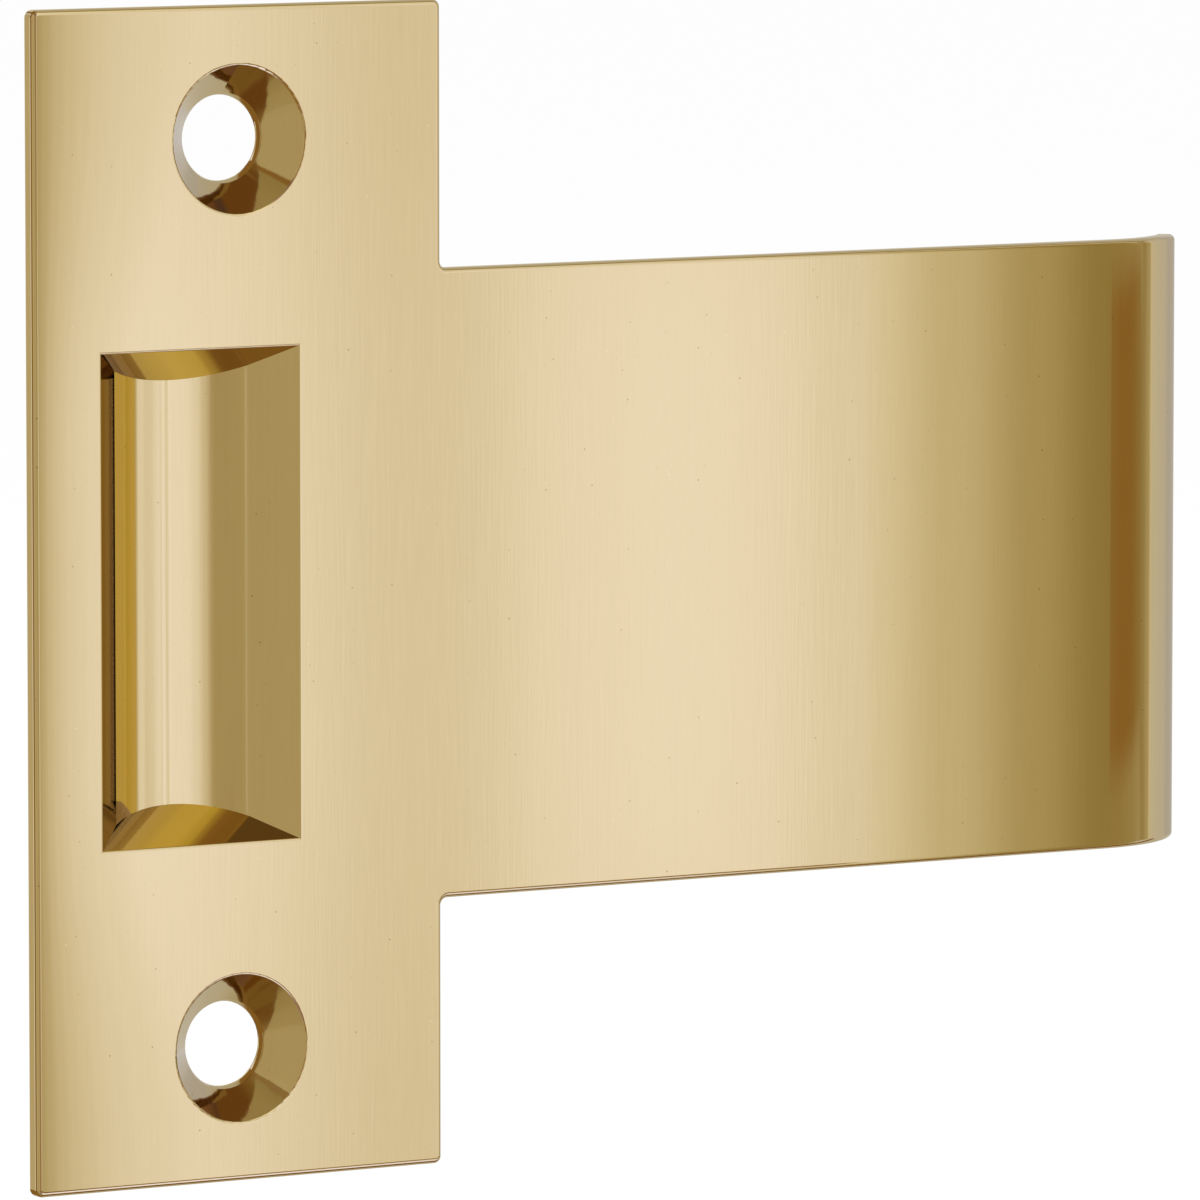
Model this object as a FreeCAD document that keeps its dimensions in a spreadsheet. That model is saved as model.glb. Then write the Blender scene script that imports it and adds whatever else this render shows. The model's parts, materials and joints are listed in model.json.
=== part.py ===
import FreeCAD, Part
import math
import os
import Sketcher

# Door strike plate, pressed from one piece of brass sheet.
# Frame: the back of the sheet lies in Y = 0 and seats on the door frame, the face looks along -Y,
# Z is up, and the origin lies midway between the two screw holes.
# A depth is measured from the face into the door frame, so depth d lies at Y = d - sheet_thick.

doc = FreeCAD.newDocument("strike_plate")

# Driving dimensions in millimetres, and two angles in degrees
SIZES = [
    ("sheet_thick", 1.2, "brass sheet"),
    ("plate_tall", 69.85, "plate, top to bottom"),
    ("plate_wide", 27.5, "plate, side to side"),
    ("corner_round", 0.45, "outer corners of the plate and the lip"),
    ("notch_round", 0.45, "inner corners where the lip leaves the plate"),
    ("lip_tall", 37.8, "lip, top to bottom"),
    ("lip_flat", 47.8, "flat length of the lip beyond the plate"),
    ("curl_radius", 8.8, "face radius of the lip's end"),
    ("curl_turn", 52.0, "angle that the lip's end turns back"),
    ("hole_spacing", 53.975, "between the screw holes"),
    ("hole_wide", 5.1, "screw hole"),
    ("sink_wide", 8.9, "countersink at the face"),
    ("sink_deep", 2.3, "depth of the countersink's cone"),
    ("land_deep", 0.35, "straight wall at the end of the countersink"),
    ("dimple_wall", 1.0, "metal round the pressed countersink"),
    ("recess_left", 4.4, "from the plate's left edge to the recess"),
    ("recess_wide", 13.4, "recess, side to side, at the face"),
    ("recess_tall", 29.4, "recess, top to bottom, at the face"),
    ("crease_in", 2.2, "run of each sloping side wall"),
    ("crease_deep", 2.35, "depth where a side wall meets the round floor"),
    ("recess_deep", 3.9, "depth of the recess at its middle"),
    ("recess_wall", 1.1, "metal round the drawn recess"),
    ("end_draft", 28.0, "slope of the recess's top and bottom walls"),
    ("face_round", 0.35, "rounding of the outline, at the face"),
    ("back_round", 0.25, "rounding of the outline, at the back"),
    ("mouth_round", 0.2, "rounding of the recess's mouth and the countersinks"),
    ("neck_round", 0.6, "rounding where a countersink's cone turns into its straight wall"),
    ("root_round", 0.5, "rounding where the drawn forms leave the back"),
]
sheet = doc.addObject("Spreadsheet::Sheet", "sizes")
for row, (alias, number, meaning) in enumerate(SIZES, start=1):
    sheet.set(f"A{row}", alias)
    sheet.set(f"B{row}", str(number))
    sheet.set(f"C{row}", meaning)
    sheet.setAlias(f"B{row}", alias)
doc.recompute()

# Places that several features share, as expressions
FACE_Y = "-sizes.sheet_thick"
PLATE_EDGE = "sizes.plate_wide / 2"
CURL_START = "(sizes.plate_wide / 2 + sizes.lip_flat)"
CURL_CENTRE_Y = "(sizes.curl_radius - sizes.sheet_thick)"
HOLE_Z = "sizes.hole_spacing / 2"
RECESS_X = "(sizes.recess_left + sizes.recess_wide / 2 - sizes.plate_wide / 2)"

# The same places as numbers, for picking edges
TINY = 1e-4
plate_edge = sheet.plate_wide / 2
curl_start = plate_edge + sheet.lip_flat
curl_centre_y = sheet.curl_radius - sheet.sheet_thick
hole_z = sheet.hole_spacing / 2
recess_x = sheet.recess_left + sheet.recess_wide / 2 - plate_edge


def origin_plane(body, role):
    """One of a body's own origin planes."""
    return next(plane for plane in body.Origin.OriginFeatures if plane.Role == role)


def body_sketch(body, name, role):
    """An empty sketch on one of the body's origin planes."""
    sketch = body.newObject("Sketcher::SketchObject", name)
    sketch.AttachmentSupport = [(origin_plane(body, role), "")]
    sketch.MapMode = "FlatFace"
    return sketch


def bind(sketch, constraint, expression):
    """Add a constraint whose value follows an expression."""
    index = sketch.addConstraint(constraint)
    sketch.setExpression(f"Constraints[{index}]", expression)


def pin_point(sketch, line, end, across, up):
    """Hold one end of a line, or the centre of an arc, at a place given by two expressions."""
    point = sketch.getPoint(line, end)
    bind(sketch, Sketcher.Constraint("DistanceX", -1, 1, line, end, point.x), across)
    bind(sketch, Sketcher.Constraint("DistanceY", -1, 1, line, end, point.y), up)


def add_polygon(sketch, corners):
    """A closed run of straight lines through corners given as pairs of expressions."""
    count = len(corners)
    turns = [2 * math.pi * i / count for i in range(count)]
    start = [FreeCAD.Vector(math.cos(turn), math.sin(turn), 0) for turn in turns]
    lines = [Part.LineSegment(start[i], start[(i + 1) % count]) for i in range(count)]
    sketch.addGeometry(lines, False)
    for i in range(count):
        sketch.addConstraint(Sketcher.Constraint("Coincident", i, 2, (i + 1) % count, 1))
    for i, (across, up) in enumerate(corners):
        pin_point(sketch, i, 1, across, up)


def add_axis(sketch, start, end):
    """A construction line between two places given as pairs of expressions."""
    line = Part.LineSegment(FreeCAD.Vector(0, 0, 0), FreeCAD.Vector(1, 1, 0))
    index = sketch.addGeometry(line, True)
    pin_point(sketch, index, 1, *start)
    pin_point(sketch, index, 2, *end)


def edge_points(edge):
    """Three points along an edge, clear of its ends."""
    span = edge.LastParameter - edge.FirstParameter
    return [edge.valueAt(edge.FirstParameter + span * share) for share in (0.1, 0.5, 0.9)]


def is_sharp(shape, edge):
    """True where the two faces beside the edge meet at a real angle."""
    middle = edge_points(edge)[1]
    normals = []
    for face in shape.ancestorsOfType(edge, Part.Face):
        u, v = face.Surface.parameter(middle)
        normals.append(face.normalAt(u, v))
    return len(normals) == 2 and math.degrees(normals[0].getAngle(normals[1])) > 15


def edge_names(shape, accepts):
    """Names of the edges whose sample points all satisfy a test."""
    names = []
    for number, edge in enumerate(shape.Edges, start=1):
        if all(accepts(point) for point in edge_points(edge)) and is_sharp(shape, edge):
            names.append(f"Edge{number}")
    return names


def add_fillet(body, base, name, alias, accepts):
    """Round the edges of a feature that satisfy a test, by a radius from the sheet."""
    doc.recompute()
    fillet = body.newObject("PartDesign::Fillet", name)
    fillet.Base = (base, edge_names(base.Shape, accepts))
    fillet.setExpression("Radius", f"sizes.{alias}")
    return fillet


def skin_depth(point):
    """Depth of a point below the face, measured square to the sheet, flat or curled."""
    if point.x <= curl_start:
        return point.y + sheet.sheet_thick
    return sheet.curl_radius - math.hypot(point.x - curl_start, point.y - curl_centre_y)


def in_recess(point):
    """True over the recess and the metal round it."""
    reach = sheet.recess_wide / 2 + sheet.recess_wall + sheet.root_round
    tall = sheet.recess_tall / 2 + sheet.recess_wall + sheet.root_round
    return abs(point.x - recess_x) < reach and abs(point.z) < tall


def in_screw_hole(point):
    """True over a countersink and the metal round it."""
    reach = sheet.sink_wide / 2 + sheet.dimple_wall + sheet.root_round
    return math.hypot(point.x, abs(point.z) - hole_z) < reach


def on_outline(point):
    return not in_recess(point) and not in_screw_hole(point)


# Flat blank: the plate and the lip as one T-shaped sheet
blank = doc.addObject("PartDesign::Body", "blank")
outline = body_sketch(blank, "outline", "XZ_Plane")
plate_top = "sizes.plate_tall / 2"
lip_top = "sizes.lip_tall / 2"
add_polygon(outline, [
    ("-" + PLATE_EDGE, "-" + plate_top),
    (PLATE_EDGE, "-" + plate_top),
    (PLATE_EDGE, "-" + lip_top),
    (CURL_START, "-" + lip_top),
    (CURL_START, lip_top),
    (PLATE_EDGE, lip_top),
    (PLATE_EDGE, plate_top),
    ("-" + PLATE_EDGE, plate_top),
])
flat = blank.newObject("PartDesign::Pad", "flat")
flat.Profile = outline
flat.setExpression("Length", "sizes.sheet_thick")

# Curled end of the lip: the lip's own section, swung about an upright axis behind the sheet
section = body_sketch(blank, "lip_section", "YZ_Plane")
section.setExpression(".AttachmentOffset.Base.z", CURL_START)
add_polygon(section, [
    (FACE_Y, "-" + lip_top),
    ("0", "-" + lip_top),
    ("0", lip_top),
    (FACE_Y, lip_top),
])
add_axis(section, (CURL_CENTRE_Y, "-" + lip_top), (CURL_CENTRE_Y, lip_top))
curl = blank.newObject("PartDesign::Revolution", "curl")
curl.Profile = section
curl.ReferenceAxis = (section, ["Axis0"])
curl.setExpression("Angle", "sizes.curl_turn")
doc.recompute()

corners = add_fillet(
    blank, curl, "corners", "corner_round",
    lambda p: (abs(abs(p.x) - plate_edge) < TINY and abs(abs(p.z) - sheet.plate_tall / 2) < TINY)
    or (p.x > curl_start + TINY and abs(abs(p.z) - sheet.lip_tall / 2) < TINY
        and TINY < skin_depth(p) < sheet.sheet_thick - TINY))
notches = add_fillet(
    blank, corners, "notches", "notch_round",
    lambda p: abs(p.x - plate_edge) < TINY and abs(abs(p.z) - sheet.lip_tall / 2) < TINY)

# Pressed countersinks: a cone of metal pushed out of the back, then the screw's seat cut in it
SINK_RUN = "(sizes.sink_wide - sizes.hole_wide) / 2"
DIMPLE_END = "sizes.sink_deep + sizes.land_deep - sizes.sheet_thick"
DIMPLE_SIDE = f"sizes.dimple_wall * hypot({SINK_RUN}; sizes.sink_deep) / sizes.sink_deep"
dimple_profile = body_sketch(blank, "dimple_profile", "YZ_Plane")
half_deep = "sizes.sheet_thick / 2"
add_polygon(dimple_profile, [
    ("-" + half_deep, HOLE_Z),
    ("-" + half_deep, f"{HOLE_Z} + sizes.sink_wide / 2 + {DIMPLE_SIDE}"
                      f" - {half_deep} * {SINK_RUN} / sizes.sink_deep"),
    (DIMPLE_END, f"{HOLE_Z} + sizes.hole_wide / 2 + {DIMPLE_SIDE}"
                 f" - sizes.land_deep * {SINK_RUN} / sizes.sink_deep"),
    (DIMPLE_END, HOLE_Z),
])
add_axis(dimple_profile, (FACE_Y, HOLE_Z), (DIMPLE_END, HOLE_Z))
dimple = blank.newObject("PartDesign::Revolution", "dimple")
dimple.Profile = dimple_profile
dimple.ReferenceAxis = (dimple_profile, ["Axis0"])

seat_profile = body_sketch(blank, "seat_profile", "YZ_Plane")
add_polygon(seat_profile, [
    (FACE_Y, HOLE_Z),
    (FACE_Y, f"{HOLE_Z} + sizes.sink_wide / 2"),
    ("sizes.sink_deep - sizes.sheet_thick", f"{HOLE_Z} + sizes.hole_wide / 2"),
    (DIMPLE_END, f"{HOLE_Z} + sizes.hole_wide / 2"),
    (DIMPLE_END, HOLE_Z),
])
add_axis(seat_profile, (FACE_Y, HOLE_Z), (DIMPLE_END, HOLE_Z))
seat = blank.newObject("PartDesign::Groove", "seat")
seat.Profile = seat_profile
seat.ReferenceAxis = (seat_profile, ["Axis0"])

lower_hole = blank.newObject("PartDesign::Mirrored", "lower_hole")
lower_hole.Originals = [dimple, seat]
lower_hole.MirrorPlane = (origin_plane(blank, "XY_Plane"), [""])
blank.Tip = lower_hole
doc.recompute()


def trough_extrusion(name, wall, depth_from):
    """The recess's cross-section, sloping walls and round floor, drawn out along Z.

    wall is the metal outside the form, and depth_from the depth at which the form starts."""
    half = sheet.recess_wide / 2
    chord = half - sheet.crease_in
    rise = sheet.recess_deep - sheet.crease_deep
    radius = (chord ** 2 + rise ** 2) / (2 * rise)
    centre_y = sheet.recess_deep - sheet.sheet_thick - radius
    lean = math.asin(chord / radius)

    sketch = doc.addObject("Sketcher::SketchObject", name + "_section")
    mouth_y = -sheet.sheet_thick
    crease_y = mouth_y + sheet.crease_deep
    mouth = [FreeCAD.Vector(recess_x + side * half, mouth_y, 0) for side in (-1, 1)]
    crease = [FreeCAD.Vector(recess_x + side * chord, crease_y, 0) for side in (-1, 1)]
    circle = Part.Circle(FreeCAD.Vector(recess_x, centre_y, 0), FreeCAD.Vector(0, 0, 1), radius)
    sketch.addGeometry([
        Part.LineSegment(mouth[0], crease[0]),
        Part.ArcOfCircle(circle, math.pi / 2 - lean, math.pi / 2 + lean),
        Part.LineSegment(crease[1], mouth[1]),
        Part.LineSegment(mouth[1], mouth[0]),
    ], False)
    for first, first_end, second, second_end in ((0, 2, 1, 2), (1, 1, 2, 1), (2, 2, 3, 1), (3, 2, 0, 1)):
        sketch.addConstraint(Sketcher.Constraint("Coincident", first, first_end, second, second_end))

    slope = "sizes.crease_in / sizes.crease_deep"
    side = f"{wall} * hypot(sizes.crease_in; sizes.crease_deep) / sizes.crease_deep"
    reach = f"(sizes.recess_wide / 2 - ({depth_from}) * {slope} + {side})"
    start_y = f"{depth_from} - sizes.sheet_thick"
    pin_point(sketch, 0, 1, f"{RECESS_X} - {reach}", start_y)
    pin_point(sketch, 2, 2, f"{RECESS_X} + {reach}", start_y)
    wall_angle = "atan2(sizes.crease_deep; sizes.crease_in)"
    lean_angle = math.atan2(sheet.crease_deep, sheet.crease_in)
    bind(sketch, Sketcher.Constraint("Angle", 0, lean_angle), wall_angle)
    bind(sketch, Sketcher.Constraint("Angle", 2, -lean_angle), "-" + wall_angle)
    half_chord = "(sizes.recess_wide / 2 - sizes.crease_in)"
    drop = "(sizes.recess_deep - sizes.crease_deep)"
    floor_radius = f"({half_chord} ^ 2 + {drop} ^ 2) / (2 * {drop})"
    pin_point(sketch, 1, 3, RECESS_X, f"sizes.recess_deep - sizes.sheet_thick - {floor_radius}")
    bind(sketch, Sketcher.Constraint("Radius", 1, radius), f"{floor_radius} + {wall}")

    solid = doc.addObject("Part::Extrusion", name + "_trough")
    solid.Base = sketch
    solid.DirMode = "Custom"
    solid.Dir = FreeCAD.Vector(0, 0, 1)
    solid.Solid = True
    solid.Symmetric = True
    solid.setExpression("LengthFwd", "sizes.plate_tall")
    return solid


def ends_extrusion(name, wall, depth_from):
    """The recess seen from the side, with its sloping top and bottom walls, drawn out along X."""
    depth_to = "sizes.recess_deep + 2 * sizes.sheet_thick"
    side = f"{wall} / cos(sizes.end_draft)"
    start_up = f"(sizes.recess_tall / 2 - ({depth_from}) * tan(sizes.end_draft) + {side})"
    stop_up = f"(sizes.recess_tall / 2 - ({depth_to}) * tan(sizes.end_draft) + {side})"
    start_y = f"{depth_from} - sizes.sheet_thick"
    stop_y = f"{depth_to} - sizes.sheet_thick"

    sketch = doc.addObject("Sketcher::SketchObject", name + "_side")
    sketch.Placement.Rotation = FreeCAD.Rotation(FreeCAD.Vector(1, 1, 1), 120)
    add_polygon(sketch, [
        (start_y, "-" + start_up),
        (stop_y, "-" + stop_up),
        (stop_y, stop_up),
        (start_y, start_up),
    ])
    solid = doc.addObject("Part::Extrusion", name + "_ends")
    solid.Base = sketch
    solid.DirMode = "Custom"
    solid.Dir = FreeCAD.Vector(1, 0, 0)
    solid.Solid = True
    solid.Symmetric = True
    solid.setExpression("LengthFwd", "2 * sizes.plate_wide")
    return solid


def recess_form(name, wall, depth_from):
    """One side of the drawing tool: where the section and the side view overlap."""
    form = doc.addObject("Part::MultiCommon", name)
    form.Shapes = [trough_extrusion(name, wall, depth_from), ends_extrusion(name, wall, depth_from)]
    return form


# Drawn recess for the catch: metal added behind the sheet, then the hollow taken from its face
die = recess_form("recess_die", "sizes.recess_wall", "sizes.sheet_thick / 2")
punch = recess_form("recess_punch", "0", "-sizes.sheet_thick / 2")
drawn = doc.addObject("Part::MultiFuse", "drawn")
drawn.Shapes = [blank, die]
drawn.Refine = True
hollowed = doc.addObject("Part::Cut", "hollowed")
hollowed.Base = drawn
hollowed.Tool = punch
doc.recompute()

# Finished plate: every edge eased, as tumbling and polishing leave them
NECK_SHARE = 0.9  # the most of the straight wall that the neck's rounding may take
strike = doc.addObject("PartDesign::Body", "strike_plate")
strike.Label = "strike_plate"
strike.BaseFeature = hollowed
doc.recompute()

face_edges = add_fillet(
    strike, strike.Tip, "face_edges", "face_round",
    lambda p: abs(skin_depth(p)) < TINY and on_outline(p))
back_edges = add_fillet(
    strike, face_edges, "back_edges", "back_round",
    lambda p: abs(skin_depth(p) - sheet.sheet_thick) < TINY and on_outline(p))
mouth_edges = add_fillet(
    strike, back_edges, "mouth_edges", "mouth_round",
    lambda p: abs(skin_depth(p)) < TINY and not on_outline(p))
neck_edges = add_fillet(
    strike, mouth_edges, "neck_edges", "neck_round",
    lambda p: abs(skin_depth(p) - sheet.sink_deep) < TINY and in_screw_hole(p))
neck_turn = f"atan2({SINK_RUN}; sizes.sink_deep)"
neck_limit = f"{NECK_SHARE} * sizes.land_deep / tan({neck_turn} / 2)"
neck_edges.setExpression("Radius", f"min(sizes.neck_round; {neck_limit})")
root_edges = add_fillet(
    strike, neck_edges, "root_edges", "root_round",
    lambda p: abs(skin_depth(p) - sheet.sheet_thick) < TINY and not on_outline(p)
    and math.hypot(p.x, abs(p.z) - hole_z) > sheet.hole_wide / 2 + TINY)
strike.Tip = root_edges
doc.recompute()

# Nothing is written unless every object of the document is sound
for item in doc.Objects:
    if "Invalid" in item.State or "Error" in item.State:
        raise RuntimeError(f"{item.Name} failed: {item.State}")
if strike.Shape.isNull() or not strike.Shape.isValid() or len(strike.Shape.Solids) != 1:
    raise RuntimeError("the strike plate is not one sound solid")

os.makedirs("parts", exist_ok=True)
for part in [strike]:
    part.Shape.exportStep(f"parts/{part.Label}.step")
    box = part.Shape.BoundBox
    print(part.Label, "volume %.1f mm3," % part.Shape.Volume,
          "box %.2f x %.2f x %.2f mm" % (box.XLength, box.YLength, box.ZLength))
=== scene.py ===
"""A polished brass door strike plate with an extended, curled lip, in a plain studio of soft cards."""

import json
import math

import bpy
from mathutils import Matrix, Vector

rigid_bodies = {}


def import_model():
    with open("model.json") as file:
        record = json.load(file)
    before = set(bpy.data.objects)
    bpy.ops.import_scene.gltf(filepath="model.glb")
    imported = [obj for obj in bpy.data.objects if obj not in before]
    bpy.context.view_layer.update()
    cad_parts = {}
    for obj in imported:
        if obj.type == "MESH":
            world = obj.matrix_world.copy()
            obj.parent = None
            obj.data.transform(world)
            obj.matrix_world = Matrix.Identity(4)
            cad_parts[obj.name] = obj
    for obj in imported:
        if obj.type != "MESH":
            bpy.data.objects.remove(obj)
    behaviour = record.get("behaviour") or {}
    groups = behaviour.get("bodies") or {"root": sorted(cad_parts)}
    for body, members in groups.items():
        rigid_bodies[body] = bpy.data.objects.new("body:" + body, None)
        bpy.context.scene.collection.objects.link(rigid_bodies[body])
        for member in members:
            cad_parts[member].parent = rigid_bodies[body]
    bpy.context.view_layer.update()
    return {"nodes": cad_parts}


MM = 0.001

for spare in list(bpy.data.objects):
    bpy.data.objects.remove(spare)

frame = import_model()

# Camera, in the row frame: it stands to the left of the plate and a little above it
CAMERA_PLACE = Vector((-327.44, -590.15, 66.72)) * MM
CAMERA_YAW = math.radians(30.879)
CAMERA_PITCH = math.radians(5.678)
CAMERA_LENS = 343.5
SENSOR_WIDE = 36.0

# The plate, in millimetres. The countersinks lie more than SINK_Z from the middle
FACE_Y = -1.2
LIP_END_X = 61.55
SINK_Z = 20.0

# The painted highlight along the crease where the recess's floor meets its right slope: its place, its two
# ends, and the half widths inside which the painted highlight is full and beyond which it is gone
CREASE_X = 1.73
CREASE_DEEP = 0.5
CREASE_END_Z = 13.8
CREASE_END_FADE = 0.8
CREASE_LINE = (0.02, 0.08)

ALONG_X, ALONG_Y, ALONG_Z = (1, 0, 0), (0, 1, 0), (0, 0, 1)

# The studio, in millimetres
FLOOR_Z = -120.0
FLOOR_REACH = 3000.0
LAMP_PLACE = Vector((-250.0, -350.0, 600.0)) * MM
LAMP_WIDE = 500.0
CARD_TALL = 520.0
FRONT_Y = -300.0
BACK_Y = 450.0
LEFT_X = -200.0
RIGHT_X = 500.0
FLAG_GAP = 25.0
FLAG_END_X = 118.0
FLAG_TALL = 130.0
CEILING_Z = 260.0
CEILING_RIM_Y = -118.0
CEILING_EDGE_Y = -88.0
TABLE_Z = -118.0
TABLE_NEAR_Y = -145.0
TABLE_EDGE_Y = -52.0
WIDE = RIGHT_X - LEFT_X
DEEP = BACK_Y - FRONT_Y
MIDDLE_X = (LEFT_X + RIGHT_X) / 2
MIDDLE_Y = (FRONT_Y + BACK_Y) / 2


def warm(level, green=1.22, blue=2.05):
    """The colour of a card of that level: the dimmer it is, the warmer it is."""
    return (level, level ** green, level ** blue, 1.0)


def brown(level, green=1.44, blue=2.5):
    """A deeper, redder shade for the dark flags."""
    return (level, level ** green, level ** blue, 1.0)


def shade(level, green=0.97, blue=0.92):
    """A colour of that level; green and blue are shares of it."""
    return (level, level * green, level * blue, 1.0)


# Nodes

class Tree:
    """A few short ways to add and join the nodes of one material."""

    def __init__(self, material):
        material.use_nodes = True
        self.tree = material.node_tree
        self.shader = self.tree.nodes["Principled BSDF"]

    def join(self, source, target):
        """Feed a socket from another one, or set it to a plain value."""
        if isinstance(source, bpy.types.NodeSocket):
            self.tree.links.new(source, target)
        else:
            target.default_value = source

    def math(self, operation, *values):
        node = self.tree.nodes.new("ShaderNodeMath")
        node.operation = operation
        for value, socket in zip(values, node.inputs):
            self.join(value, socket)
        return node.outputs[0]

    def stretch(self, value, low, high, to_low, to_high):
        """Map low..high to to_low..to_high, held at the ends."""
        node = self.tree.nodes.new("ShaderNodeMapRange")
        for setting, socket in zip((value, low, high, to_low, to_high), node.inputs):
            self.join(setting, socket)
        return node.outputs["Result"]

    def soft_step(self, value, low, high):
        """0 below low, 1 above high, and smooth between them."""
        node = self.tree.nodes.new("ShaderNodeMapRange")
        node.interpolation_type = "SMOOTHSTEP"
        for setting, socket in zip((value, low, high), node.inputs):
            self.join(setting, socket)
        return node.outputs["Result"]

    def ramp(self, share, marks):
        """A smooth run of colours; marks are (share, colour), in order."""
        node = self.tree.nodes.new("ShaderNodeValToRGB")
        node.color_ramp.interpolation = "EASE"
        self.join(share, node.inputs["Fac"])
        elements = node.color_ramp.elements
        elements[0].position, elements[0].color = marks[0]
        elements[1].position, elements[1].color = marks[-1]
        for position, colour in marks[1:-1]:
            elements.new(position).color = colour
        return node.outputs["Color"]

    def blend(self, share, first, second):
        node = self.tree.nodes.new("ShaderNodeMix")
        node.data_type = "RGBA"
        for value, name in ((share, "Factor_Float"), (first, "A_Color"), (second, "B_Color")):
            socket = next(socket for socket in node.inputs if socket.identifier == name)
            self.join(value, socket)
        return next(socket for socket in node.outputs if socket.identifier == "Result_Color")

    def multiply(self, first, second):
        node = self.tree.nodes.new("ShaderNodeVectorMath")
        node.operation = "MULTIPLY"
        self.join(first, node.inputs[0])
        self.join(second, node.inputs[1])
        return node.outputs[0]

    def scale(self, colour, share):
        node = self.tree.nodes.new("ShaderNodeVectorMath")
        node.operation = "SCALE"
        self.join(colour, node.inputs[0])
        self.join(share, node.inputs["Scale"])
        return node.outputs[0]

    def scaled_place(self, scale, offset=(0.0, 0.0, 0.0)):
        """The place on the object, in metres, multiplied along each axis."""
        place = self.tree.nodes.new("ShaderNodeTexCoord")
        node = self.tree.nodes.new("ShaderNodeMapping")
        node.inputs["Scale"].default_value = scale
        node.inputs["Location"].default_value = offset
        self.tree.links.new(place.outputs["Object"], node.inputs["Vector"])
        return node.outputs["Vector"]

    def place(self, axis):
        """Where on the object a point is along that axis, in metres."""
        split = self.tree.nodes.new("ShaderNodeSeparateXYZ")
        self.join(self.scaled_place((1.0, 1.0, 1.0)), split.inputs["Vector"])
        return split.outputs[axis]

    def noise(self, vector, detail=2.0, roughness=0.5):
        node = self.tree.nodes.new("ShaderNodeTexNoise")
        node.inputs["Scale"].default_value = 1.0
        node.inputs["Detail"].default_value = detail
        node.inputs["Roughness"].default_value = roughness
        self.tree.links.new(vector, node.inputs["Vector"])
        return node.outputs["Fac"]

    def specks(self, spacing, radius, share, offset):
        """1 inside scattered round specks of that radius, in millimetres, 0 elsewhere."""
        across = 1.0 / (spacing * MM)
        place = self.tree.nodes.new("ShaderNodeSeparateXYZ")
        self.join(self.scaled_place((across, 1.0, across), offset), place.inputs["Vector"])
        flat = self.tree.nodes.new("ShaderNodeCombineXYZ")
        self.join(place.outputs["X"], flat.inputs["X"])
        self.join(place.outputs["Z"], flat.inputs["Y"])
        node = self.tree.nodes.new("ShaderNodeTexVoronoi")
        node.voronoi_dimensions = "2D"
        node.inputs["Scale"].default_value = 1.0
        self.join(flat.outputs["Vector"], node.inputs["Vector"])
        split = self.tree.nodes.new("ShaderNodeSeparateColor")
        self.tree.links.new(node.outputs["Color"], split.inputs["Color"])
        size = self.stretch(split.outputs["Green"], 0.0, 1.0, 0.5 * radius / spacing, radius / spacing)
        inside = self.math("LESS_THAN", node.outputs["Distance"], size)
        chosen = self.math("LESS_THAN", split.outputs["Red"], share)
        return self.math("MULTIPLY", self.math("MULTIPLY", inside, chosen), self.faces_front_or_back())

    def faces_front_or_back(self):
        """1 where the surface looks mostly along Y, 0 on the side walls."""
        place = self.tree.nodes.new("ShaderNodeTexCoord")
        split = self.tree.nodes.new("ShaderNodeSeparateXYZ")
        self.join(place.outputs["Normal"], split.inputs["Vector"])
        return self.math("GREATER_THAN", self.math("ABSOLUTE", split.outputs["Y"]), 0.6)


# Camera

def make_camera():
    """The camera that was fitted to the photo."""
    data = bpy.data.cameras.new("camera")
    data.lens = CAMERA_LENS
    data.sensor_width = SENSOR_WIDE
    data.sensor_fit = "HORIZONTAL"
    data.clip_start = 0.01
    data.clip_end = 50.0
    camera = bpy.data.objects.new("camera", data)
    bpy.context.collection.objects.link(camera)
    ahead = Vector((
        math.sin(CAMERA_YAW) * math.cos(CAMERA_PITCH),
        math.cos(CAMERA_YAW) * math.cos(CAMERA_PITCH),
        -math.sin(CAMERA_PITCH),
    ))
    camera.rotation_mode = "QUATERNION"
    camera.rotation_quaternion = ahead.to_track_quat("-Z", "Y")
    camera.location = CAMERA_PLACE
    bpy.context.scene.camera = camera


# Studio

def mirrored_x(x, distance):
    """Where a card that far in front of the face is seen in the face's point x, in millimetres."""
    eye_x = CAMERA_PLACE.x / MM
    eye_away = FACE_Y - CAMERA_PLACE.y / MM
    return x + distance * (x - eye_x) / eye_away


def seen_from_curl(angle):
    """Where the right card is met by a ray from the curl, angle degrees to the right of straight ahead."""
    return -(RIGHT_X - LIP_END_X) / math.tan(math.radians(angle))


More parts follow.
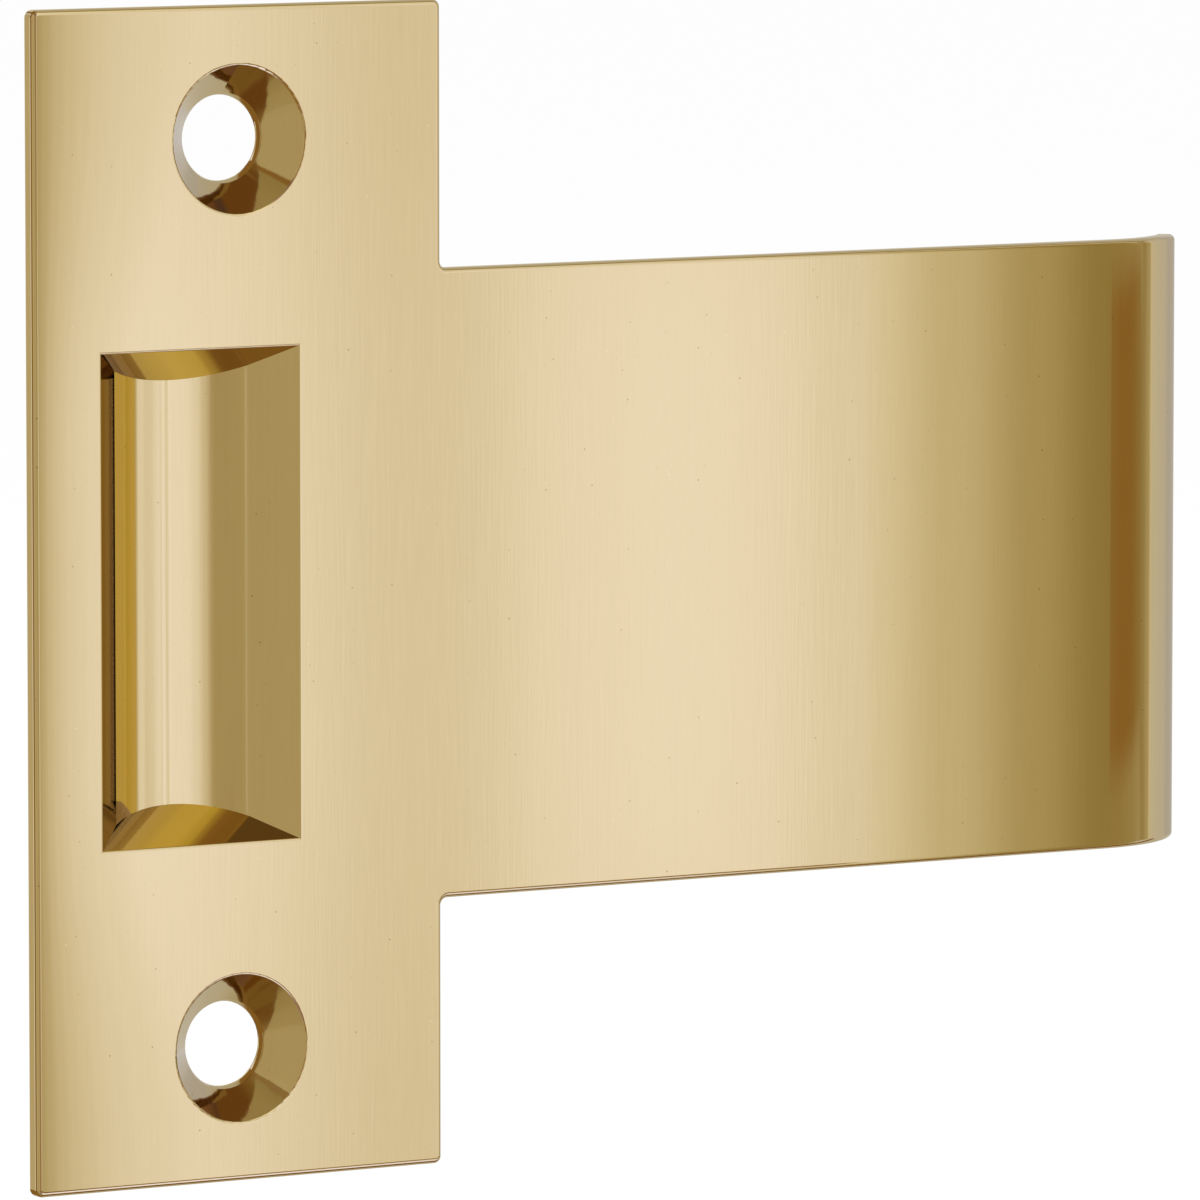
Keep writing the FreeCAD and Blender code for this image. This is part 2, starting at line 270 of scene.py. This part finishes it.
def card(name, centre, along, up, wide, tall, stops, fade=None):
    """A glowing card that only mirrors show. Its colour runs along it: stops are (millimetres, colour).

    A fade is (height, inner, outer, stops): between inner and outer millimetres away from that height,
    the colours turn into those of its own stops.
    """
    mesh = bpy.data.meshes.new(name)
    half_w, half_t = wide * MM / 2, tall * MM / 2
    corners = [(-half_w, -half_t, 0), (half_w, -half_t, 0), (half_w, half_t, 0), (-half_w, half_t, 0)]
    mesh.from_pydata(corners, [], [(0, 1, 2, 3)])
    obj = bpy.data.objects.new(name, mesh)
    bpy.context.collection.objects.link(obj)
    side = Vector(along).normalized()
    up = Vector(up)
    out = side.cross(up)
    centre = Vector(centre)
    obj.matrix_world = Matrix.Translation(centre * MM) @ Matrix((side, up, out)).transposed().to_4x4()

    material = bpy.data.materials.new(name)
    glow = Tree(material)
    glow.tree.nodes.remove(glow.shader)
    place = glow.tree.nodes.new("ShaderNodeTexCoord")
    split = glow.tree.nodes.new("ShaderNodeSeparateXYZ")
    glow.join(place.outputs["Object"], split.inputs["Vector"])
    share = glow.stretch(split.outputs["X"], -half_w, half_w, 0.0, 1.0)

    def run_of_colours(stops):
        marks = sorted(((at - centre.dot(side)) / wide + 0.5, colour) for at, colour in stops)
        return glow.ramp(share, marks)

    colour = run_of_colours(stops)
    if fade:
        height, inner, outer, far_stops = fade
        above = glow.math("SUBTRACT", split.outputs["Y"], (height - centre.dot(up)) * MM)
        far = glow.soft_step(glow.math("ABSOLUTE", above), inner * MM, outer * MM)
        colour = glow.blend(far, colour, run_of_colours(far_stops))
    emission = glow.tree.nodes.new("ShaderNodeEmission")
    glow.join(colour, emission.inputs["Color"])
    glow.join(emission.outputs["Emission"], glow.tree.nodes["Material Output"].inputs["Surface"])
    mesh.materials.append(material)

    obj.visible_camera = False
    obj.visible_diffuse = False
    obj.visible_shadow = False


def make_front():
    """The card before the face. It is darker above and below what the recess's floor shows."""
    away = FACE_Y - FRONT_Y
    # What the flat face shows, from its left edge to where the lip's flag takes over
    face_sheen = [
        (-16.0, 0.97), (-9.0, 0.975), (-5.0, 1.01), (1.0, 0.95), (10.0, 0.82), (15.0, 0.82), (21.0, 0.955),
        (29.0, 1.0), (36.0, 0.985), (44.0, 0.81),
    ]
    # What only the rounded and hollow parts show, left and right of that
    left_of_face = [(LEFT_X, 0.44), (-95.0, 0.44), (-78.0, 0.47), (-38.0, 0.70), (4.0, 0.87), (60.0, 0.96)]
    right_of_face = [
        (236.0, 0.90), (241.0, 0.935), (262.0, 0.925), (290.0, 0.90), (340.0, 0.83), (457.0, 0.81),
        (RIGHT_X, 0.86),
    ]
    far_left = [(-38.0, 0.55), (4.0, 0.83), (60.0, 0.92)]
    sheen = [(mirrored_x(x, away), level) for x, level in face_sheen] + right_of_face
    stops = [(at, warm(level)) for at, level in left_of_face + sheen]
    far_stops = [
        (LEFT_X, brown(0.33, 1.42, 2.1)), (-95.0, brown(0.33, 1.42, 2.1)), (-78.0, brown(0.34, 1.40, 2.1)),
    ]
    far_stops += [(at, warm(level)) for at, level in far_left]
    far_stops += [(at, warm(level * 0.96)) for at, level in sheen]
    card("front_card", (MIDDLE_X, FRONT_Y, 0), ALONG_X, ALONG_Z, WIDE, CARD_TALL, stops,
         fade=(-33.0, 14.0, 50.0, far_stops))


def make_flag():
    """The card close to the lip, which the lip's right half and the start of its curl show."""
    lip_shade = [(44.0, 0.81), (50.0, 0.64), (56.0, 0.46), (61.0, 0.32)]
    stops = [(mirrored_x(x, FLAG_GAP), warm(level, blue=2.2)) for x, level in lip_shade]
    olive_stops = stops + [
        (84.0, brown(0.335, 1.27, 2.25)), (98.0, brown(0.355, 1.24, 2.15)),
        (FLAG_END_X, brown(0.40, 1.20, 2.05)),
    ]
    stops += [
        (79.0, brown(0.29, 1.36, 2.35)), (87.0, brown(0.28, 1.46, 2.65)), (96.0, brown(0.28, 1.45, 2.6)),
        (FLAG_END_X, brown(0.305, 1.29, 2.25)),
    ]
    start = mirrored_x(lip_shade[0][0], FLAG_GAP)
    card("lip_flag", ((start + FLAG_END_X) / 2, FACE_Y - FLAG_GAP, 0), ALONG_X, ALONG_Z,
         FLAG_END_X - start, FLAG_TALL, stops, fade=(-2.0, 13.5, 18.5, olive_stops))


def make_sides():
    """The cards at the right, which the curl shows, at the left and at the back."""
    beyond = [
        (seen_from_curl(69.0), warm(0.34)), (seen_from_curl(76.0), warm(0.45)),
        (seen_from_curl(77.5), warm(0.48)), (seen_from_curl(78.5), warm(0.66)),
        (seen_from_curl(83.0), shade(0.60, 0.97, 0.81)), (seen_from_curl(100.0), shade(0.56, 0.97, 0.86)),
        (seen_from_curl(112.0), shade(0.48)), (seen_from_curl(124.0), shade(0.48)),
        (345.0, shade(0.55, 0.98, 0.98)), (BACK_Y, shade(0.64, 1.02, 1.10)),
    ]
    near = [(FRONT_Y, warm(0.86)), (-215.0, warm(0.86))]
    stops = near + [(-205.0, brown(0.31, 1.27, 2.2))] + beyond
    olive_stops = near + [(-205.0, brown(0.42, 1.20, 2.05))] + beyond
    card("right_card", (RIGHT_X, MIDDLE_Y, 0), ALONG_Y, ALONG_Z, DEEP, CARD_TALL, stops,
         fade=(-43.0, 18.0, 30.0, olive_stops))

    stops = [
        (FRONT_Y, warm(0.44)), (-250.0, warm(0.44)), (-228.0, warm(0.46)), (-212.0, warm(0.55)),
        (-190.0, warm(0.55)), (-160.0, warm(0.49)), (-110.0, warm(0.48)), (-90.0, warm(0.46)),
        (-60.0, warm(0.46)), (-35.0, warm(0.55)), (5.0, warm(0.52)), (28.0, warm(0.42)),
        (48.0, brown(0.25)), (160.0, brown(0.25)), (200.0, warm(0.92)), (260.0, warm(0.95)),
        (305.0, warm(0.95)), (322.0, warm(0.85)), (335.0, warm(0.58)), (350.0, warm(0.51)),
        (BACK_Y, warm(0.51)),
    ]
    card("left_card", (LEFT_X, MIDDLE_Y, 0), ALONG_Y, ALONG_Z, DEEP, CARD_TALL, stops)

    stops = [
        (LEFT_X, shade(0.57)), (-160.0, shade(0.57)), (-60.0, warm(0.80)), (20.0, warm(0.98)),
        (90.0, warm(0.86)), (180.0, warm(0.60)), (RIGHT_X, shade(0.57)),
    ]
    card("back_card", (MIDDLE_X, BACK_Y, 0), ALONG_X, ALONG_Z, WIDE, CARD_TALL, stops)


def lay_strips(level_z, strips):
    """Cards side by side at one level, each from its near y to its far y."""
    for name, (near_y, far_y, stops) in strips.items():
        centre = (MIDDLE_X, (near_y + far_y) / 2, level_z)
        card(name, centre, ALONG_X, ALONG_Y, WIDE, far_y - near_y, stops)


def make_table():
    """The strips below the plate, which its lower slopes and roundings show."""
    lay_strips(TABLE_Z, {
        "table_near": (FRONT_Y, TABLE_NEAR_Y, [
            (LEFT_X, brown(0.30)), (RIGHT_X, brown(0.36))]),
        "table_front": (TABLE_NEAR_Y, TABLE_EDGE_Y, [
            (LEFT_X, warm(0.45)), (-130.0, warm(0.45)), (-112.0, shade(0.37, 0.71, 0.70)),
            (-50.0, shade(0.315, 0.68, 0.70)), (-33.0, shade(0.34, 0.69, 0.72)),
            (-13.0, shade(0.68, 0.95, 1.0)), (8.0, shade(1.00, 1.02, 1.22)), (60.0, shade(1.04, 1.03, 1.26)),
            (95.0, shade(0.92, 1.02, 1.18)), (120.0, shade(0.82, 1.0, 1.08)), (150.0, shade(0.69)),
            (RIGHT_X, shade(0.60))]),
        "table_middle": (TABLE_EDGE_Y, 0.0, [
            (LEFT_X, warm(0.43)), (-90.0, warm(0.40)), (-30.0, warm(0.35)), (0.0, brown(0.20)),
            (RIGHT_X, brown(0.20))]),
        "table_back": (0.0, BACK_Y, [
            (LEFT_X, brown(0.25)), (-12.0, brown(0.25)), (22.0, shade(0.46, 0.90, 0.60)),
            (80.0, shade(0.52, 0.94, 0.74)), (260.0, shade(0.54, 0.95, 0.80)),
            (RIGHT_X, shade(0.60, 0.97, 0.90))]),
    })


def make_ceiling():
    """The strips above the plate, which its upper slopes and roundings show."""
    # The two strips in front share their right part
    glow = [
        (-90.0, shade(0.32, 0.69, 0.50)), (-55.0, shade(0.375, 0.70, 0.58)),
        (-25.0, shade(0.41, 0.72, 0.62)), (-5.0, shade(0.60, 0.87, 0.63)),
        (15.0, shade(0.88, 0.96, 0.64)), (55.0, shade(1.0, 0.98, 0.76)),
        (108.0, shade(0.98, 0.955, 0.70)), (150.0, shade(0.84, 0.955, 0.70)),
        (180.0, shade(0.80, 0.95, 0.76)), (RIGHT_X, shade(0.56, 0.95, 0.70)),
    ]
    lay_strips(CEILING_Z, {
        "ceiling_front": (FRONT_Y, CEILING_RIM_Y, [
            (LEFT_X, shade(0.195, 0.76, 0.92)), (-120.0, shade(0.195, 0.76, 0.92))] + glow),
        "ceiling_rim": (CEILING_RIM_Y, CEILING_EDGE_Y, [
            (LEFT_X, shade(0.28, 0.68, 0.26)), (-120.0, shade(0.28, 0.68, 0.26))] + glow),
        "ceiling_middle": (CEILING_EDGE_Y, 0.0, [
            (LEFT_X, warm(0.40)), (-186.0, brown(0.25)), (-162.0, brown(0.25)), (-140.0, warm(0.31)),
            (0.0, warm(0.34)), (RIGHT_X, warm(0.32))]),
        "ceiling_back": (0.0, BACK_Y, [
            (LEFT_X, brown(0.25)), (-12.0, brown(0.25)), (22.0, shade(0.46, 0.90, 0.60)),
            (80.0, shade(0.50, 0.93, 0.72)), (RIGHT_X, shade(0.50, 0.95, 0.82))]),
    })


def make_floor():
    """A pale, dull floor that takes the shadow."""
    mesh = bpy.data.meshes.new("floor")
    reach = FLOOR_REACH * MM
    low = FLOOR_Z * MM
    corners = [(-reach, -reach, low), (reach, -reach, low), (reach, reach, low), (-reach, reach, low)]
    mesh.from_pydata(corners, [], [(0, 1, 2, 3)])
    floor = bpy.data.objects.new("floor", mesh)
    bpy.context.collection.objects.link(floor)
    material = bpy.data.materials.new("floor")
    material.use_nodes = True
    shader = material.node_tree.nodes["Principled BSDF"]
    shader.inputs["Base Color"].default_value = (0.985, 0.985, 0.985, 1.0)
    shader.inputs["Roughness"].default_value = 0.9
    shader.inputs["Specular IOR Level"].default_value = 0.0
    mesh.materials.append(material)


def make_light():
    """A white world, and one soft lamp above that draws the shadow on the floor."""
    world = bpy.data.worlds.new("world")
    world.use_nodes = True
    bpy.context.scene.world = world
    world.node_tree.nodes["Background"].inputs["Color"].default_value = (1.0, 1.0, 1.0, 1.0)
    world.node_tree.nodes["Background"].inputs["Strength"].default_value = 1.0

    data = bpy.data.lights.new("soft_lamp", "AREA")
    data.shape = "DISK"
    data.size = LAMP_WIDE * MM
    data.energy = 1.2
    lamp = bpy.data.objects.new("soft_lamp", data)
    bpy.context.collection.objects.link(lamp)
    lamp.location = LAMP_PLACE
    lamp.rotation_mode = "QUATERNION"
    lamp.rotation_quaternion = (-LAMP_PLACE).to_track_quat("-Z", "Y")
    lamp.visible_glossy = False
    lamp.visible_camera = False


# Brass: seen straight on, then with a deeper painted shade where it is seen in other brass, seen in a
# countersink's brass, and after more bounces
BRASS = (0.83, 0.687, 0.458, 1.0)
BRASS_IN_BRASS = (0.56, 0.395, 0.068, 1.0)
BRASS_IN_SINK = (0.43, 0.285, 0.12, 1.0)
BRASS_DEEP = (0.36, 0.25, 0.13, 1.0)

# The small pits and the pale specks
PIT = (0.30, 0.18, 0.05, 1.0)
PALE = (0.95, 0.85, 0.68, 1.0)

# What the metal's colour is multiplied by: nothing to change, and the painted highlight along the crease
NO_TINT = (1.0, 1.0, 1.0, 1.0)
CREASE_HIGHLIGHT_TINT = (1.14, 1.20, 1.40, 1.0)

# The painted shade beside the face's left edge, a darker reflection painted into the colour: where it
# starts, how far it reaches, and its levels inward.
# It widens between the two heights EDGE_SHADE_SPREAD_Z
EDGE_SHADE_START_X = -13.55
EDGE_SHADE_WIDE = 6.0
EDGE_SHADE_SPREAD_Z = (10.0, 34.0)
EDGE_SHADE_LEVELS = [(0.0, 0.48), (0.10, 0.56), (0.30, 0.62), (0.76, 0.72), (1.15, 0.78), (1.7, 0.83), (2.1, 0.87),
           (2.8, 0.905), (3.5, 0.935), (6.0, 1.0)]


def edge_painted_shade(brass):
    """Painted shade: a darker, warmer tint of the face beside its left edge, standing in for a darker
    reflection there, which is twice as wide at the two ends.
    """
    height = brass.math("ABSOLUTE", brass.place("Z"))
    start, end = EDGE_SHADE_SPREAD_Z
    spread = brass.math("ADD", brass.soft_step(height, start * MM, end * MM), 1.0)
    inward = brass.math("SUBTRACT", brass.place("X"), EDGE_SHADE_START_X * MM)
    share = brass.math("DIVIDE", inward, brass.math("MULTIPLY", spread, EDGE_SHADE_WIDE * MM))
    marks = [(at / EDGE_SHADE_WIDE, warm(level)) for at, level in EDGE_SHADE_LEVELS]
    face = brass.stretch(brass.place("Y"), (FACE_Y + 0.003) * MM, (FACE_Y + 0.012) * MM, 1.0, 0.0)
    return brass.blend(face, NO_TINT, brass.ramp(share, marks))


def crease_painted_highlight(brass):
    """A painted highlight: a thin pale line along the crease between the recess's floor and its right slope.
    """
    across = brass.math("ABSOLUTE", brass.math("SUBTRACT", brass.place("X"), CREASE_X * MM))
    full, gone = CREASE_LINE
    line = brass.stretch(across, full * MM, gone * MM, 1.0, 0.0)
    inside = brass.math("GREATER_THAN", brass.place("Y"), CREASE_DEEP * MM)
    height = brass.math("ABSOLUTE", brass.place("Z"))
    fade_start = CREASE_END_Z - CREASE_END_FADE
    along = brass.stretch(height, fade_start * MM, CREASE_END_Z * MM, 1.0, 0.0)
    share = brass.math("MULTIPLY", line, brass.math("MULTIPLY", inside, along))
    return brass.blend(share, NO_TINT, CREASE_HIGHLIGHT_TINT)


def bounced_painted_shade(brass):
    """The metal's colour, with a deeper painted shade where brass is mirrored in brass, deeper again in the
    countersinks and after more bounces.
    """
    path = brass.tree.nodes.new("ShaderNodeLightPath")
    height = brass.math("ABSOLUTE", brass.place("Z"))
    sinks = brass.stretch(height, (SINK_Z - 0.5) * MM, (SINK_Z + 0.5) * MM, 0.0, 1.0)
    second = brass.blend(sinks, BRASS_IN_BRASS, BRASS_IN_SINK)
    deep = brass.math("GREATER_THAN", path.outputs["Glossy Depth"], 1.5)
    inner = brass.blend(deep, second, BRASS_DEEP)
    return brass.blend(path.outputs["Is Glossy Ray"], BRASS, inner)


def brass_material():
    """Polished brass with a faint upright grain, small pits and a few pale specks, with a painted shade
    beside the face's left edge, a painted highlight along the crease and a deeper painted shade in its
    reflections.
    """
    material = bpy.data.materials.new("polished_brass")
    brass = Tree(material)
    shader = brass.shader
    shader.inputs["Metallic"].default_value = 1.0

    # The grain runs up the plate: fine lines, and broader, fainter bands
    lines = brass.noise(brass.scaled_place((6500.0, 900.0, 170.0)), detail=2.0, roughness=0.6)
    bands = brass.noise(brass.scaled_place((1300.0, 300.0, 45.0), (3.0, 7.0, 1.0)), detail=1.0)
    mottle = brass.noise(brass.scaled_place((420.0, 420.0, 420.0)), detail=4.0, roughness=0.6)
    pits = brass.specks(2.7, 0.06, 0.28, (11.3, 0.0, 4.7))
    pinholes = brass.specks(1.3, 0.035, 0.22, (2.1, 0.0, 8.9))
    pale = brass.specks(4.1, 0.07, 0.22, (5.9, 0.0, 1.3))

    tone = bounced_painted_shade(brass)
    grain = brass.stretch(lines, 0.3, 0.7, 0.986, 1.010)
    grain = brass.math("ADD", grain, brass.stretch(bands, 0.3, 0.7, -0.004, 0.004))
    grain = brass.math("ADD", grain, brass.stretch(mottle, 0.3, 0.7, -0.004, 0.004))
    # Painted shade beside the face's left edge and a painted highlight along the crease
    tints = brass.multiply(edge_painted_shade(brass), crease_painted_highlight(brass))
    tinted = brass.multiply(brass.scale(tone, grain), tints)
    dark = brass.math("MAXIMUM", brass.math("MULTIPLY", pits, 0.5), brass.math("MULTIPLY", pinholes, 0.28))
    tone = brass.blend(dark, tinted, PIT)
    tone = brass.blend(brass.math("MULTIPLY", pale, 0.35), tone, PALE)
    brass.join(tone, shader.inputs["Base Color"])
    brass.join(brass.stretch(lines, 0.3, 0.7, 0.055, 0.075), shader.inputs["Roughness"])

    bump = brass.tree.nodes.new("ShaderNodeBump")
    bump.inputs["Distance"].default_value = 0.02 * MM
    bump.inputs["Strength"].default_value = 0.05
    height = brass.math("SUBTRACT", lines, brass.math("MULTIPLY", pits, 2.0))
    brass.join(height, bump.inputs["Height"])
    brass.join(bump.outputs["Normal"], shader.inputs["Normal"])
    return material


make_camera()
make_floor()
make_front()
make_flag()
make_sides()
make_table()
make_ceiling()
make_light()

plate = frame["nodes"]["strike_plate"]
plate.data.materials.clear()
plate.data.materials.append(brass_material())

view = bpy.context.scene.view_settings
view.view_transform = "Standard"
